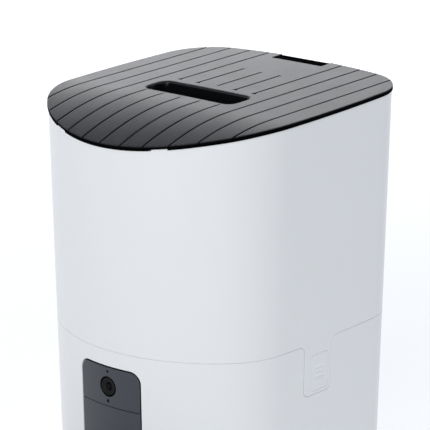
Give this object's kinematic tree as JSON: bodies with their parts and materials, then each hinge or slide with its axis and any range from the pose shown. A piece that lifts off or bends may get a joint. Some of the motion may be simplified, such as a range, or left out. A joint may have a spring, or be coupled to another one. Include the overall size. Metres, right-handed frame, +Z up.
{
  "type": "automatic pet feeder",
  "caption": "Tall rounded pet feeder with a grooved lift-off lid, dosing rotor, camera panel, food chute and a steel bowl in a slide-out tray.",
  "frame": {"origin": "centre of the overall footprint, on the surface the feeder stands on", "axes": "+X to the right of the feeder as it faces -Y, -Y to the front where the bowl is, +Z up"},
  "size_m": [0.1916, 0.3, 0.3099],
  "materials": {
    "shell_white": "satin",
    "inner_white": "satin",
    "lid_black": "satin",
    "trim_black": "gloss",
    "panel_slate": "satin",
    "lens": "polished",
    "light_pipe": "clear",
    "steel": "brushed",
    "hardware": "zinc plated",
    "rubber_dark": "matt",
    "silicone": "matt silicone",
    "seal": "matt silicone",
    "gear": "acetal",
    "circuit": "solder mask",
    "cell": "printed wrap",
    "rotor": "satin"
  },
  "bodies": {
    "base": {"base_shell": "shell_white", "bottom_plate": "inner_white", "rubber_feet": "rubber_dark", "bottom_screws": "hardware", "base_deck": "inner_white", "deck_screws": "hardware", "rotor_housing": "inner_white", "outlet_chute": "inner_white", "food_sensors": "trim_black", "gear_case": "inner_white", "gear_motor": "hardware", "main_board": "circuit", "speaker": "trim_black", "front_panel_upper": "panel_slate", "front_panel_lower": "panel_slate", "camera_ring": "trim_black", "camera_lens": "lens", "camera_board": "circuit", "status_light": "light_pipe", "button_board": "circuit", "battery_case": "inner_white", "battery_cells": "cell", "battery_contacts": "hardware", "power_socket": "trim_black", "feed_button_spring": "hardware"},
    "feed_button": {"feed_button": "panel_slate"},
    "rotor": {"rotor_hub": "rotor", "rotor_vanes": "silicone", "rotor_shaft": "hardware", "drive_gear": "gear"},
    "pinion": {"motor_pinion": "gear"},
    "battery_door": {"battery_door": "shell_white"},
    "tray": {"bowl_tray": "shell_white", "tray_feet": "rubber_dark"},
    "bowl": {"steel_bowl": "steel"},
    "tank": {"tank_shell": "shell_white", "hopper": "inner_white", "right_release_spring": "hardware", "left_release_spring": "hardware"},
    "right_button": {"right_release_button": "shell_white"},
    "left_button": {"left_release_button": "shell_white"},
    "lid": {"lid_cover": "lid_black", "lid_liner": "inner_white", "lid_gasket": "seal", "lid_screws": "hardware", "desiccant_case": "inner_white", "lid_latch_springs": "hardware"},
    "lid_latch": {"lid_latch_button": "trim_black"},
    "desiccant_door": {"desiccant_cover": "inner_white"}
  },
  "joints": [
    {"name": "rotor_spin", "type": "hinge", "parent": "base", "child": "rotor", "pos_m": [0, 0.0525, 0.1], "axis": [0, 0, 1], "continuous": true},
    {"name": "motor_spin", "type": "hinge", "parent": "base", "child": "pinion", "pos_m": [0, 0.0805, 0.09], "axis": [0, 0, 1], "continuous": true},
    {"name": "feed_button_press", "type": "slide", "parent": "base", "child": "feed_button", "axis": [0, 1, 0], "range_m": [0, 0.0012], "stiffness_N_per_m": 400, "springref_m": -0.0005, "deforming": ["feed_button_spring"]},
    {"name": "battery_door_pull", "type": "slide", "parent": "base", "child": "battery_door", "axis": [0, 1, 0], "range_m": [0, 0.03]},
    {"name": "tray_pull", "type": "slide", "parent": "base", "child": "tray", "axis": [0, -1, 0], "range_m": [0, 0.1]},
    {"name": "bowl_lift", "type": "slide", "parent": "tray", "child": "bowl", "axis": [0, 0, 1], "range_m": [0, 0.06]},
    {"name": "tank_lift", "type": "slide", "parent": "base", "child": "tank", "axis": [0, 0, 1], "range_m": [0, 0.08]},
    {"name": "right_release_press", "type": "slide", "parent": "tank", "child": "right_button", "axis": [-1, 0, 0], "range_m": [0, 0.002], "stiffness_N_per_m": 500, "springref_m": -0.0005, "deforming": ["right_release_spring"]},
    {"name": "left_release_press", "type": "slide", "parent": "tank", "child": "left_button", "axis": [1, 0, 0], "range_m": [0, 0.002], "stiffness_N_per_m": 500, "springref_m": -0.0005, "deforming": ["left_release_spring"]},
    {"name": "lid_lift", "type": "slide", "parent": "tank", "child": "lid", "axis": [0, 0, 1], "range_m": [0, 0.06]},
    {"name": "lid_latch_press", "type": "slide", "parent": "lid", "child": "lid_latch", "axis": [0, -1, 0], "range_m": [0, 0.0025], "stiffness_N_per_m": 400, "springref_m": -0.0005, "deforming": ["lid_latch_springs"]},
    {"name": "desiccant_cover_pull", "type": "slide", "parent": "lid", "child": "desiccant_door", "axis": [0, 0, -1], "range_m": [0, 0.02]}
  ],
  "couplings": [
    {"joint": "motor_spin", "follows": "rotor_spin", "ratio": -2.5}
  ]
}
